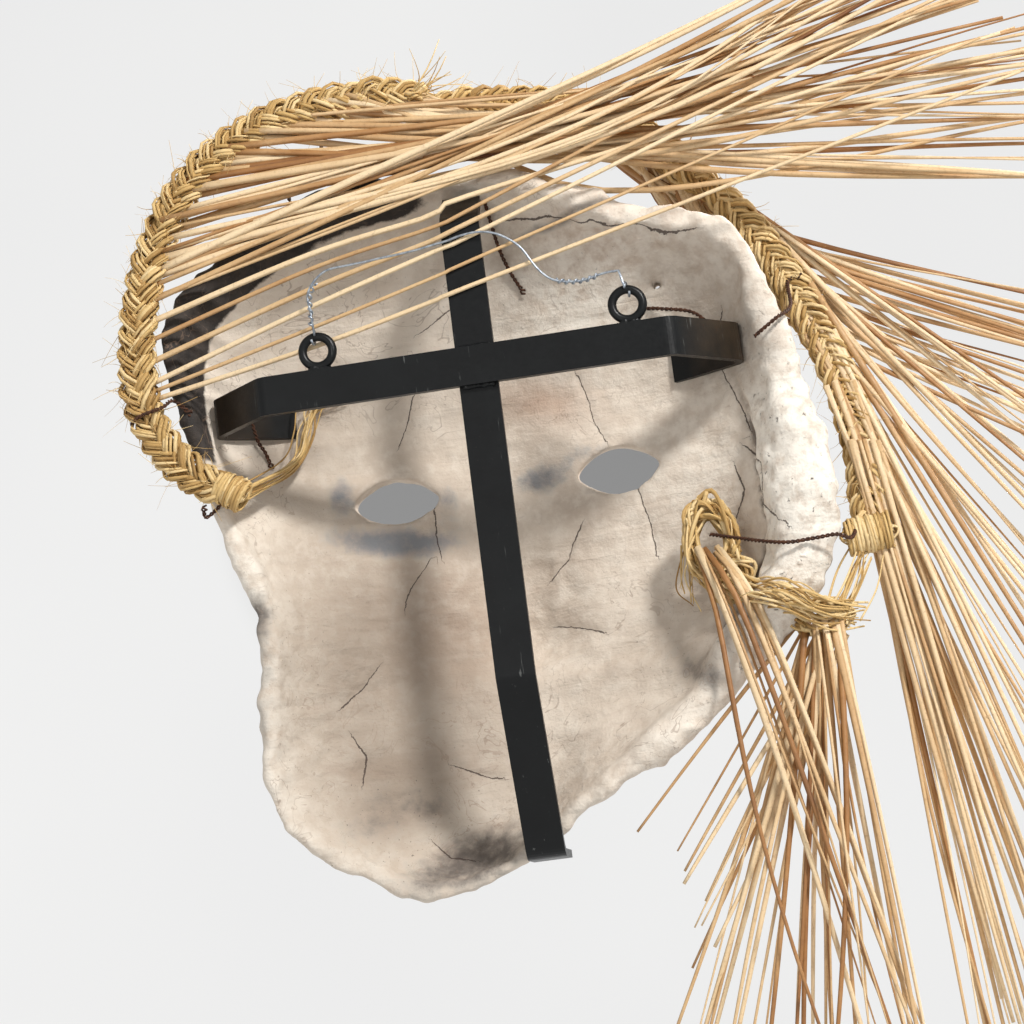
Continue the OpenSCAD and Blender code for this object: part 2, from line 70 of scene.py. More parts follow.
class Look:
    """A Principled material and short names for the nodes that feed it."""

    def __init__(self, name, rough=0.7, metal=0.0):
        self.material = bpy.data.materials.new(name)
        self.material.use_nodes = True
        self.tree = self.material.node_tree
        self.tree.nodes.clear()
        output = self.tree.nodes.new("ShaderNodeOutputMaterial")
        self.shader = self.tree.nodes.new("ShaderNodeBsdfPrincipled")
        self.tree.links.new(self.shader.outputs[0], output.inputs[0])
        self.shader.inputs["Roughness"].default_value = rough
        self.shader.inputs["Metallic"].default_value = metal
        self.where = self.tree.nodes.new("ShaderNodeTexCoord").outputs["Object"]

    def _put(self, value, socket):
        if isinstance(value, bpy.types.NodeSocket):
            self.tree.links.new(value, socket)
        elif hasattr(socket.default_value, "__len__"):
            socket.default_value = (*value, 1)[: len(socket.default_value)]
        else:
            socket.default_value = value

    def set(self, **values):
        for name, value in values.items():
            self._put(value, self.shader.inputs[name.replace("_", " ")])

    def noise(self, scale, detail=4, rough=0.55, stretch=None, warp=0.0):
        node = self.tree.nodes.new("ShaderNodeTexNoise")
        where = self.where
        if stretch:
            mapping = self.tree.nodes.new("ShaderNodeMapping")
            mapping.inputs["Scale"].default_value = stretch
            self.tree.links.new(where, mapping.inputs[0])
            where = mapping.outputs[0]
        self.tree.links.new(where, node.inputs["Vector"])
        for name, value in (
            ("Scale", scale),
            ("Detail", detail),
            ("Roughness", rough),
            ("Distortion", warp),
        ):
            node.inputs[name].default_value = value
        return node.outputs[0]

    def attribute(self, name):
        node = self.tree.nodes.new("ShaderNodeAttribute")
        node.attribute_name = name
        return node.outputs["Fac"]

    def ramp(self, value, *stops):
        node = self.tree.nodes.new("ShaderNodeValToRGB")
        marks = node.color_ramp.elements
        while len(marks) < len(stops):
            marks.new(0.5)
        for mark, (place, colour) in zip(marks, stops):
            mark.position = place
            colour = (colour,) * 3 if isinstance(colour, (int, float)) else colour
            mark.color = (*colour, 1)
        self._put(value, node.inputs[0])
        return node.outputs[0]

    def mix(self, share, a, b, mode="MIX"):
        node = self.tree.nodes.new("ShaderNodeMix")
        node.data_type, node.blend_type = "RGBA", mode
        self._put(share, node.inputs[0])
        self._put(a, node.inputs[6])
        self._put(b, node.inputs[7])
        return node.outputs[2]

    def calc(self, kind, a, b=0.0):
        node = self.tree.nodes.new("ShaderNodeMath")
        node.operation = kind
        self._put(a, node.inputs[0])
        self._put(b, node.inputs[1])
        return node.outputs[0]

    def plus(self, a, b):
        return self.calc("ADD", a, b)

    def times(self, a, b):
        return self.calc("MULTIPLY", a, b)

    def minus(self, a, b):
        return self.calc("SUBTRACT", a, b)

    def broken(self, value, fine, amount):
        """A value whose edge is broken up by fine noise."""
        return self.plus(value, self.times(self.minus(fine, 0.5), amount))

    def coat(self, base, colour, share, strength=1.0):
        """A colour laid over the base as far as share and strength say."""
        return self.mix(self.times(share, strength), base, colour)

    def place(self, axis):
        """One coordinate of the point, in metres."""
        node = self.tree.nodes.new("ShaderNodeSeparateXYZ")
        self.tree.links.new(self.where, node.inputs[0])
        return node.outputs[axis]

    def step(self, value, low, high):
        node = self.tree.nodes.new("ShaderNodeMapRange")
        node.interpolation_type = "SMOOTHSTEP"
        self._put(value, node.inputs[0])
        node.inputs[1].default_value, node.inputs[2].default_value = low, high
        return node.outputs[0]

    def bump(self, height, strength, distance, under=None):
        node = self.tree.nodes.new("ShaderNodeBump")
        node.inputs["Strength"].default_value = strength
        node.inputs["Distance"].default_value = distance
        self._put(height, node.inputs["Height"])
        if under is not None:
            self.tree.links.new(under, node.inputs["Normal"])
        return node.outputs[0]


def paint(r, g, b):
    """A colour given as it looks on a screen, 0 to 255, in scene values."""
    return tuple(
        (c / 255 / 12.92) if c < 10 else ((c / 255 + 0.055) / 1.055) ** 2.4
        for c in (r, g, b)
    )


def hollow_side(look, broad, fine, pits):
    """The bare clay of the back: drag marks, painted shade and painted light, soot, veins, pits and
    specks.
    """
    base = look.ramp(
        broad,
        (0.3, paint(182, 166, 150)),
        (0.5, paint(202, 188, 172)),
        (0.68, paint(218, 206, 191)),
    )
    base = look.coat(base, paint(221, 211, 197), look.step(fine, 0.4, 0.7), 0.55)
    streak = look.noise(14, 4, 0.6, stretch=(1, 1, 3.2), warp=0.6)
    base = look.coat(base, paint(164, 142, 124), look.step(streak, 0.52, 0.75), 0.35)
    base = look.coat(base, paint(160, 122, 96), look.attribute("warm"), 0.6)
    # Pale clay on the flap and lip, with painted light on the wearer's right forehead.
    pale = look.times(look.attribute("pale"), look.step(fine, 0.25, 0.6))
    base = look.coat(base, paint(233, 226, 214), pale)
    base = look.coat(base, paint(106, 91, 76), look.attribute("shade"), 0.75)
    # Painted blue-grey shade along the edges of the eye openings.
    ragged = look.broken(look.attribute("eye_edge_shade"), fine, 0.9)
    base = look.coat(base, paint(104, 109, 116), look.step(ragged, 0.3, 1.0), 0.85)
    smoke = look.broken(look.attribute("soot"), fine, 1.1)
    base = look.coat(base, paint(70, 62, 58), look.step(smoke, 0.25, 1.15), 0.9)
    # A dark band along the top-left lip: painted shade under the fringe, over the dark clay of the lip.
    band = look.broken(look.attribute("dark_band"), fine, 0.7)
    shaded_dark_lip = look.ramp(fine, (0.3, paint(34, 30, 28)), (0.7, paint(66, 59, 54)))
    base = look.coat(base, shaded_dark_lip, look.step(band, 0.35, 0.6))
    base = look.coat(base, paint(74, 64, 56), pits, 0.75)
    vein = look.calc("ABSOLUTE", look.minus(look.noise(38, 3, 0.6, warp=1.2), 0.5))
    vein = look.times(look.minus(1.0, look.step(vein, 0.003, 0.009)), look.step(broad, 0.42, 0.6))
    base = look.coat(base, paint(128, 106, 90), vein, 0.45)
    # Painted shade in the crease at the foot of the right flap's fold.
    fold = look.times(look.attribute("fold"), look.step(look.noise(90, 4, 0.7), 0.38, 0.6))
    return look.coat(base, paint(70, 58, 50), fold, 0.85)


def face_side(look, fine):
    """The outside: a warm slip with a few darker patches, and painted brows and lips."""
    slip = look.ramp(
        look.noise(22, 6, 0.65, warp=0.4),
        (0.35, paint(150, 138, 124)),
        (0.5, paint(170, 158, 143)),
        (0.66, paint(188, 177, 162)),
    )
    patches = look.step(look.noise(13, 6, 0.7, warp=0.8), 0.58, 0.68)
    slip = look.coat(slip, paint(96, 92, 82), patches, 0.6)
    lips = look.times(look.attribute("lips"), look.step(fine, 0.2, 0.5))
    slip = look.coat(slip, paint(138, 74, 58), lips)
    brows = look.times(look.attribute("brows"), look.step(fine, 0.25, 0.5))
    return look.coat(slip, paint(58, 48, 42), brows)


def clay_look():
    look = Look("clay", rough=0.9)
    broad = look.noise(9, 4, 0.6)
    fine = look.noise(120, 5, 0.65)
    grain = look.noise(650, 3, 0.6)
    pits = look.step(look.noise(230, 5, 0.75, warp=0.5), 0.62, 0.68)
    pits = look.times(pits, look.attribute("flap"))
    base = hollow_side(look, broad, fine, pits)
    specks = look.times(look.step(grain, 0.66, 0.74), look.attribute("speckled"))
    base = look.coat(base, paint(60, 54, 50), specks)
    outside = look.step(look.broken(look.attribute("outside"), fine, 0.5), 0.35, 0.6)
    base = look.mix(outside, base, face_side(look, fine))
    jagged = look.broken(look.attribute("crack"), look.noise(210, 4, 0.7), 2.6)
    width = look.plus(look.times(look.noise(45, 2), 0.9), -0.12)
    opened = look.times(
        look.calc("LESS_THAN", look.calc("ABSOLUTE", jagged), width),
        look.step(look.attribute("crack_near"), 0.05, 0.3),
    )
    base = look.coat(base, paint(58, 44, 38), opened, 0.85)
    height = look.plus(look.times(fine, 0.8), look.times(grain, 0.25))
    normal = look.bump(height, 0.8, 0.0016)
    normal = look.bump(look.times(pits, -1.0), 0.8, 0.0014, normal)
    drags = look.noise(60, 3, 0.5, stretch=(0.35, 1, 2.4), warp=0.3)
    normal = look.bump(drags, 0.6, 0.0022, normal)
    normal = look.bump(look.times(opened, -1.0), 0.9, 0.0012, normal)
    look.set(Base_Color=base, Normal=normal, Roughness=look.ramp(fine, (0.2, 0.8), (0.8, 0.97)))
    return look.material


def black_look():
    """Black paint with dust and scratches, and a painted brown sheen on the sloping legs of the hanger.
    """
    look = Look("black_paint")
    broad = look.noise(35, 5, 0.6)
    fine = look.noise(420, 5, 0.7)
    base = look.ramp(broad, (0.3, paint(6, 7, 8)), (0.7, paint(13, 15, 16)))
    sideways = look.calc("ABSOLUTE", look.minus(look.place(0), 0.0055))
    sloping = look.calc(
        "MAXIMUM", look.step(sideways, 0.108, 0.122), look.step(look.place(2), 0.074, 0.084)
    )
    # A painted brown sheen on the sloping legs, where they would reflect the straw and clay.
    painted_leg_sheen = look.ramp(broad, (0.35, paint(26, 22, 17)), (0.65, paint(58, 46, 33)))
    base = look.coat(base, painted_leg_sheen, sloping, 0.7)
    dust = look.step(look.noise(900, 4, 0.75), 0.66, 0.78)
    base = look.coat(base, paint(120, 112, 100), dust, 0.35)
    scratch = look.noise(70, 3, 0.6, stretch=(9, 9, 0.6), warp=0.2)
    marks = look.times(look.step(scratch, 0.67, 0.71), look.step(broad, 0.45, 0.6))
    base = look.coat(base, paint(110, 112, 110), marks, 0.5)
    look.set(
        Base_Color=base,
        Roughness=look.ramp(fine, (0.3, 0.3), (0.7, 0.46)),
        Normal=look.bump(look.plus(broad, look.times(fine, 0.3)), 0.25, 0.0008),
        Specular_IOR_Level=0.25,
    )
    return look.material


def steel_look(name, dark, light, rough, metal):
    look = Look(name, rough=rough, metal=metal)
    fine = look.noise(380, 5, 0.65)
    look.set(
        Base_Color=look.ramp(fine, (0.32, dark), (0.68, light)),
        Roughness=look.ramp(fine, (0.2, rough - 0.12), (0.8, rough + 0.12)),
        Normal=look.bump(fine, 0.4, 0.0003),
    )
    return look.material


def fibre_look(name, stops, bump_scale, rough):
    """Each straw or fibre has its own tint, and pale and dark lengths along it."""
    look = Look(name, rough=rough)
    tint = look.attribute("tint")
    length = look.noise(26, 4, 0.65)
    base = look.ramp(look.broken(tint, length, 0.55), *stops)
    fine = look.noise(bump_scale, 4, 0.7)
    base = look.coat(base, stops[0][1], look.step(fine, 0.5, 0.75), 0.35)
    look.set(
        Base_Color=base,
        Roughness=look.ramp(fine, (0.3, rough - 0.1), (0.7, min(rough + 0.15, 1))),
        Normal=look.bump(fine, 0.35, 0.0004),
    )
    return look.material


# ---- Numbers and curves ----


def vnoise(p, size, seed):
    """Smooth random values from -1 to 1 at the points p, with features of about size mm."""
    q = p / size
    cell = np.floor(q).astype(np.int64)
    f = q - cell
    f = f * f * (3 - 2 * f)
    total = np.zeros(len(p))
    for corner in itertools.product((0, 1), repeat=3):
        c = cell + corner
        h = c[:, 0] * 374761393 + c[:, 1] * 668265263 + c[:, 2] * 1440670441 + seed * 974634777
        h = (h ^ (h >> 13)) * 1274126177 & 0x7FFFFFFF
        h = h ^ (h >> 16)
        share = np.prod(np.where(corner, f, 1 - f), axis=1)
        total += share * ((h & 0xFFFF) / 32767.5 - 1)
    return total


def smooth(x, low, high):
    t = np.clip((x - low) / (high - low), 0, 1)
    return t * t * (3 - 2 * t)


def spline(points, count):
    """count points, evenly spaced, on a smooth curve through the given ones."""
    p = np.array(points, float)
    p = np.vstack([2 * p[0] - p[1], p, 2 * p[-1] - p[-2]])
    out = []
    for i in range(1, len(p) - 2):
        t = np.linspace(0, 1, 24, endpoint=False)[:, None]
        a, b, c, d = p[i - 1 : i + 3]
        out.append(
            0.5
            * (
                2 * b
                + (c - a) * t
                + (2 * a - 5 * b + 4 * c - d) * t**2
                + (3 * b - a - 3 * c + d) * t**3
            )
        )
    out = np.vstack([*out, p[-2:-1]])
    along = np.concatenate([[0], np.cumsum(np.linalg.norm(np.diff(out, axis=0), axis=1))])
    wanted = np.linspace(0, along[-1], count)
    return np.stack([np.interp(wanted, along, out[:, k]) for k in range(3)], axis=1)


def length_of(path):
    return np.linalg.norm(np.diff(path, axis=0), axis=1).sum()


def frames(path):
    """Tangent, and two directions across, carried along the path without twisting."""
    t = np.gradient(path, axis=0)
    t /= np.maximum(np.linalg.norm(t, axis=1), 1e-9)[:, None]
    first = np.cross(t[0], (0, 1, 0))
    if np.linalg.norm(first) < 0.2:
        first = np.array((1.0, 0, 0))
    n = np.zeros_like(path)
    last = first / np.linalg.norm(first)
    for i in range(len(path)):
        last = last - (last @ t[i]) * t[i]
        last = last / max(np.linalg.norm(last), 1e-9)
        n[i] = last
    return t, n, np.cross(n, t)


# ---- Meshes ----


def point_values(mesh, name, values):
    attribute = mesh.attributes.new(name, "FLOAT", "POINT")
    attribute.data.foreach_set("value", np.asarray(values, np.float32))


def show(mesh, name, material, body, nodes):
    """Puts a mesh in the scene, in place of the CAD nodes that it stands for."""
    mesh.materials.clear()
    mesh.materials.append(material)
    made = bpy.data.objects.new(name, mesh)
    bpy.context.scene.collection.objects.link(made)
    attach(made, body)
    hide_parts(*nodes)
    return made


def smoothed(mesh):
    mesh.polygons.foreach_set("use_smooth", np.ones(len(mesh.polygons), bool))


def tubes(name, fibres, material, body, nodes, sides=5):
    """One mesh of many thin tubes. Each fibre is (path, radius or radii, flatness, tint)."""
    points, faces, tints, base = [], [], [], 0
    turn = np.linspace(0, 2 * np.pi, sides, endpoint=False)
    around = np.arange(sides)
    for path, radius, flat, tint in fibres:
        count = len(path)
        _, n, b = frames(path)
        r = np.broadcast_to(np.asarray(radius, float), (count,))[:, None, None]
        ring = (
            path[:, None]
            + r * np.cos(turn)[None, :, None] * n[:, None]
            + r * flat * np.sin(turn)[None, :, None] * b[:, None]
        )
        points.append(ring.reshape(-1, 3))
        low = base + (np.arange(count - 1) * sides)[:, None]
        a, c = low + around, low + (around + 1) % sides
        faces.append(np.stack([a, c, c + sides, a + sides], axis=2).reshape(-1, 4))
        tints.append(np.full(count * sides, tint))
        base += count * sides
    points = np.vstack(points) * MM
    quads = np.vstack(faces)
    ends, at = [], 0
    for path, *_ in fibres:
        last = at + (len(path) - 1) * sides
        ends += [list(range(at + sides - 1, at - 1, -1)), list(range(last, last + sides))]
        at = last + sides
    mesh = bpy.data.meshes.new(name)
    loops = np.concatenate([quads.ravel(), np.array(ends).ravel()])
    sizes = np.concatenate([np.full(len(quads), 4), np.full(len(ends), sides)])
    mesh.vertices.add(len(points))
    mesh.vertices.foreach_set("co", points.astype(np.float32).ravel())
    mesh.loops.add(len(loops))
    mesh.loops.foreach_set("vertex_index", loops.astype(np.int32))
    mesh.polygons.add(len(sizes))
    starts = np.concatenate([[0], np.cumsum(sizes)[:-1]])
    mesh.polygons.foreach_set("loop_start", starts.astype(np.int32))
    mesh.update(calc_edges=True)
    point_values(mesh, "tint", np.concatenate(tints))
    smooth_flags = np.concatenate([np.ones(len(quads), bool), np.zeros(len(ends), bool)])
    mesh.polygons.foreach_set("use_smooth", smooth_flags)
    mesh.validate()
    show(mesh, name, material, body, nodes)


# ---- Clay shell ----

CENTRE_Z = -80
SHELL_VOXEL, BEAD_VOXEL = 1.7, 0.45

CRACKS = [
    [(44, 6), (47, 0), (49, -7), (55, -19)],
    [(42, -50), (40, -60), (41, -72), (40, -82)],
    [(46, -83), (54, -92), (60, -100), (62, -107)],
    [(-45, 3), (-49, -10), (-50, -22), (-55, -33)],
    [(-68, -58), (-70, -68), (-73, -82), (-74, -97)],
    [(-36, -76), (-30, -85), (-27, -92), (-16, -101)],
    [(36, 38), (27, 42), (18, 47)],
    [(80, -137), (89, -148), (99, -156)],
    [(-16, -126), (-28, -129), (-40, -134)],
    [(46, -193), (38, -197), (28, -202), (22, -203)],
    [(-18, 83), (-41, 79), (-71, 73), (-96, 65), (-118, 60)],
    [(-126, 20), (-120, -4), (-127, -26), (-132, -44)],
    [(-128, -52), (-140, -66), (-137, -86), (-146, -100)],
    [(-121, -60), (-124, -74), (-118, -88)],
    [(60, -232), (52, -240), (40, -243)],
    [(96, -172), (90, -184), (93, -196)],
]


# Holes and pits in the forehead: x, z and radius.
NAIL_HOLES = [(-42, 75, 2.4), (-57, 62, 3.4), (-94, 42, 3.4), (-100, 22, 1.8), (24, 12, 1.2)]


def crack_fields(x, z):
    """Distance to the nearest crack with its side as a sign, and a nearness from 0 to 1."""
    best = np.full(len(x), 1e3)
    signed = np.full(len(x), 1e3)
    for line in CRACKS:
        for (ax, az), (bx, bz) in zip(line, line[1:]):
            dx, dz = bx - ax, bz - az
            t = np.clip(((x - ax) * dx + (z - az) * dz) / (dx * dx + dz * dz), 0, 1)
            px, pz = x - ax - t * dx, z - az - t * dz
            d = np.hypot(px, pz)
            nearer = d < best
            side = np.where(dx * (z - az) - dz * (x - ax) >= 0, 1.0, -1.0)
            signed = np.where(nearer, d * side, signed)
            best = np.minimum(best, d)
    return np.clip(signed, -8, 8), 1 - smooth(best, 1.5, 5)


def blob(x, z, cx, cz, rx, rz, turn=0.0):
    c, s = math.cos(math.radians(turn)), math.sin(math.radians(turn))
    u, v = (x - cx) * c + (z - cz) * s, (z - cz) * c - (x - cx) * s
    return np.exp(-((u / rx) ** 2) - (v / rz) ** 2)


def blobs(x, z, *parts):
    """Sum of blobs, each given as weight, centre x and z, radius x and z, and turn."""
    return sum(weight * blob(x, z, *place) for weight, *place in parts)


def remeshed(node, voxel):
    """A copy of a CAD node's mesh with even, small faces."""
    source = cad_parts[node]
    mesh = source.data.copy()
    while mesh.attributes.get("custom_normal"):
        mesh.attributes.remove(mesh.attributes["custom_normal"])
    copy = bpy.data.objects.new("remesh_copy", mesh)
    bpy.context.scene.collection.objects.link(copy)
    weld = copy.modifiers.new("weld", "WELD")
    weld.merge_threshold = 1e-6
    grid = copy.modifiers.new("grid", "REMESH")
    grid.mode, grid.voxel_size, grid.adaptivity = "VOXEL", voxel * MM, 0
    bpy.context.view_layer.update()
    made = bpy.data.meshes.new_from_object(
        copy.evaluated_get(bpy.context.evaluated_depsgraph_get())
    )
    bpy.data.objects.remove(copy)
    return made


def vertices_of(mesh):
    co = np.zeros(len(mesh.vertices) * 3, np.float32)
    mesh.vertices.foreach_get("co", co)
    return co.reshape(-1, 3).astype(float) / MM


def relax(mesh, co, rounds):
    """Evens out small bumps without shrinking the whole."""
    edges = np.zeros(len(mesh.edges) * 2, np.int32)
    mesh.edges.foreach_get("vertices", edges)
    a, b = edges.reshape(-1, 2).T
    degree = np.bincount(a, minlength=len(co)) + np.bincount(b, minlength=len(co))
    for k in range(rounds):
        step = 0.55 if k % 2 == 0 else -0.57
        mean = np.stack(
            [
                np.bincount(a, co[b, i], len(co)) + np.bincount(b, co[a, i], len(co))
                for i in range(3)
            ],
            axis=1,
        ) / degree[:, None]
        co = co + step * (mean - co)
    return co


def normals_of(mesh, co):
    mesh.vertices.foreach_set("co", (co * MM).astype(np.float32).ravel())
    mesh.update()
    n = np.zeros(len(co) * 3, np.float32)
    mesh.vertex_normals.foreach_get("vector", n)
    return n.reshape(-1, 3).astype(float)


def hollow_relief(x, z):
    """Finger drags, ridges and small holes in the hollow side, in mm."""
    ridges = 1.5 * blob(x, z, -18, -106, 5, 24, 5) + 1.0 * blob(x, z, -8, -120, 26, 4, 20)
    ridges -= 1.1 * blob(x, z, -56, -146, 50, 4, -6) + 1.2 * blob(x, z, -66, -172, 46, 5, 8)
    ridges += 0.9 * blob(x, z, -62, -158, 44, 4, 4)
    for k, (cx, cz) in enumerate([(78, -181), (74, -206), (92, -150), (-30, 30), (50, 22)]):
        ridges -= 0.8 * blob(x, z, cx, cz, 40, 3.2, -28 + 9 * k)
    holes = 0.0
    for cx, cz, size in NAIL_HOLES:
        holes = holes + 1.4 * blob(x, z, cx, cz, size, size)
    return ridges - holes


def clay_marks(x, y, z, angle, rim, flap):
    """How warm, pale, shaded, blue-grey, sooty, speckled and painted the clay is, from 0 to 1. The
    shade, the blue-grey round the eyes and part of the pale are painted shade and painted light.
    """
    return {
        "warm": blobs(x, z, (1, -24, -8, 26, 12, 10), (0.5, -60, 60, 30, 20), (0.4, 40, -130, 30, 40)),
        # Pale clay on the flap and lip, with painted light on the wearer's right forehead.
        "pale": np.clip(rim * 0.3 + 1.0 * flap + blobs(
            x, z, (0.6, 132, -120, 12, 70), (0.4, -110, -70, 34, 60), (0.8, -52, 44, 46, 34),
        ), 0, 1),
        "shade": np.clip(blobs(
            x, z, (0.85, 84, -128, 40, 60, 8), (0.5, -128, 8, 20, 36), (0.8, 70, -205, 46, 34),
            (0.5, 36, -150, 22, 46, -8), (0.35, 108, -20, 30, 34), (0.35, -80, -150, 34, 30),
        ), 0, 1),
        # Blue-grey painted shade round the eye openings.
        "eye_edge_shade": np.clip(1.1 * blob(x, z, 62, -72, 38, 9, 6) * (z < -56) + blobs(
            x, z, (0.9, 88, -44, 9, 14), (0.9, -17, -48, 17, 9), (0.7, 34, -52, 9, 13),
            (0.6, -44, -38, 20, 7),
        ), 0, 1),
        "soot": np.clip(
            0.95 * rim * np.exp(-(((angle - 347) / 6) ** 2))
            + 0.5 * rim * np.exp(-(((angle - 330) / 12) ** 2))
            + blobs(
                x, z, (1.1, 40, -244, 42, 16, -14), (0.55, 88, -216, 30, 16, -32),
                (0.8, -92, -168, 24, 9, 34), (0.7, -112, -142, 14, 10, 40),
                (0.9, -60, 78, 50, 3.4, -8), (0.5, 60, -214, 14, 8),
            ), 0, 1),
        "speckled": np.clip(0.12 + blobs(
            x, z, (0.9, 80, -225, 60, 34, -25), (0.8, -95, -160, 50, 30, 30), (0.4, 0, 60, 120, 30),
            (0.5, 120, -120, 30, 90),
        ), 0, 1),
        "lips": blob(x, z, 0, -178, 34, 11) ** 0.8 * (y < -70) * smooth(np.abs(z + 177) * -1, -13, -9),
        "brows": smooth(
            blob(np.abs(x), z, 54, -19, 34, 6, -4), 0.3, 0.6) * (y < -60),
    }


def clay_shell(material):
    """The clay with its torn rim, folded right flap, drags, cracks and colour fields."""
    mesh = remeshed("mask_shell", SHELL_VOXEL)
    co = relax(mesh, vertices_of(mesh), 44)
    n = normals_of(mesh, co)
    x, y, z = co.T
    angle = np.degrees(np.arctan2(z - CENTRE_Z, x)) % 360
    radius = np.hypot(x, z - CENTRE_Z)
    bins = (angle / 3).astype(int) % 120
    reach = np.zeros(120)
    np.maximum.at(reach, bins, radius)
    reach = (np.roll(reach, 1) + 2 * reach + np.roll(reach, -1)) / 4
    share = radius / np.interp(angle, np.arange(121) * 3 + 1.5, np.append(reach, reach[0]))
    rim = smooth(share, 0.86, 0.97)
    inside = smooth(n[:, 1], -0.1, 0.3)
    right_flap = smooth(share, 0.82, 0.9) * np.exp(-(((angle - 185) / 38) ** 2))
    top = smooth(share, 0.82, 0.94) * np.exp(-(((angle - 104) / 36) ** 2))
    plain = 1.3 * vnoise(co, 34, 1) + 0.6 * vnoise(co, 12, 2) + 0.22 * vnoise(co, 5, 3)
    drag = np.stack([x * 0.45 + z * 0.2, y * 0.3, z * 1.2 - x * 0.25], axis=1)
    plain += inside * 0.55 * vnoise(drag, 9, 4) * (1 - rim)
    lumps = rim * (2.2 * vnoise(co, 22, 5) + 1.3 * vnoise(co, 9, 6) + 0.5 * vnoise(co, 4.5, 7))
    lumps += right_flap * (3.4 * np.abs(vnoise(co, 20, 8)) + 1.4 * vnoise(co, 8, 9))
    on_right = np.exp(-np.maximum(np.abs(angle - 188) - 22, 0) ** 2 / 90)
    edge = share - 0.825 + 0.022 * vnoise(co, 24, 15) + 0.01 * vnoise(co, 8, 16)
    lumps += inside * on_right * 5.0 * smooth(edge, 0, 0.022)
    lumps += top * (4.0 * np.abs(vnoise(co, 15, 10)) + 1.8 * vnoise(co, 6, 11))
    signed, near = crack_fields(x, z)
    groove = 0.8 * np.exp(-((np.abs(signed) / 1.6) ** 2)) * near * inside
    shift = plain + lumps + inside * hollow_relief(x, z) - groove
    keep = np.maximum(blob(x, z, 0, 96, 14, 18), blob(x, z, 0, -262, 14, 22))
    co = co + n * (shift * (1 - 0.8 * keep))[:, None]
    flat = co * (1, 0, 1)
    tear = rim * (4.2 * vnoise(flat, 42, 12) + 1.8 * vnoise(flat, 19, 14) + 0.7 * vnoise(flat, 6, 13))
    co[:, 1] += tear * 0.8 * (1 - keep)
    out = np.stack([x, np.zeros_like(x), z - CENTRE_Z], axis=1) / np.maximum(radius, 1)[:, None]
    co = co + out * (tear * (1 - keep))[:, None]
    n = normals_of(mesh, co)
    x, y, z = co.T
    outside = smooth(-n[:, 1], 0.0, 0.35) * (1 - 0.55 * smooth(y, -40, -20))
    flap = smooth(share, 0.84, 0.9) * np.exp(-(((angle - 190) / 34) ** 2))
    flap = np.maximum(flap, on_right * smooth(edge, 0, 0.02)) * (1 - outside)
    turned = np.abs((angle - 52 + 180) % 360 - 180)
    values = {
        "flap": flap,
        # Painted shade in the crease where the right flap folds up.
        "fold": on_right * np.exp(-(((edge + 0.006) / 0.012) ** 2)) * (1 - outside),
        # Painted shade under the fringe, over dark clay, along the top-left lip.
        "dark_band": smooth(share, 0.875, 0.92) * (1 - smooth(turned, 26, 36)),
        "crack": signed,
        "crack_near": near * (1 - outside),
        "outside": outside,
        **clay_marks(x, y, z, angle, rim, flap),
    }
    for name, value in values.items():
        point_values(mesh, name, value)
    smoothed(mesh)
    mesh.name = "clay_shell"
    made = show(mesh, "clay_shell", material, "mask", ["mask_shell"])
    return made, co, angle, share


def over_clay(x, z, height):
    """The point that far above the clay's hollow side."""
    hit = clay_tree.ray_cast(Vector((x * MM, 0.3, z * MM)), Vector((0, -1, 0)))[0]
    return (x, (hit.y / MM if hit else -40) + height, z)


def on_clay(*points):
    """A way over the clay, each point given as x, z and height."""
    return [over_clay(*p) for p in points]


def at_rim(angle, beyond, lift):
    """A point by the lip at an angle from +X towards +Z."""
    near = (np.abs((clay_angle - angle + 180) % 360 - 180) < 2.5) & (clay_share > 0.9)
    edge = clay_points[near]
    radius = np.hypot(edge[:, 0], edge[:, 2] - CENTRE_Z).max() + beyond
    a = math.radians(angle)
    return (radius * math.cos(a), edge[:, 1].max() + lift, CENTRE_Z + radius * math.sin(a))


# ---- Plaited bands ----

LEFT_ROUTE = [
    (134, -12, -44), (150, -11, -36), (166, -15, -18), (178, -19, 10), (177, -21, 50),
    (164, -24, 94), (138, -28, 132), (98, -32, 155), (56, -34, 161), (12, -36, 158),
]
CROWN_ROUTE = [(14, -46, 154), (-26, -58, 153), (-64, -64, 145), (-98, -64, 124), (-131, -61, 88)]
RIGHT_ROUTE = [
    (-130, -60, 90), (-152, -60, 54), (-169, -60, 18),
    (-182, -58, -24), (-187, -56, -68), (-184, -50, -104),
]


def hair(start, way, length, radius):
    """A short loose fibre that curls away from its start."""
    way = way / np.linalg.norm(way)
    bend = rng.normal(0, 1, 3) * 0.45
    steps = np.linspace(0, 1, 5)[:, None]
    path = start + way * length * steps + bend * length * steps**2
    return path, radius * np.linspace(1, 0.4, 5), 1.0, rng.uniform(0.35, 0.95)


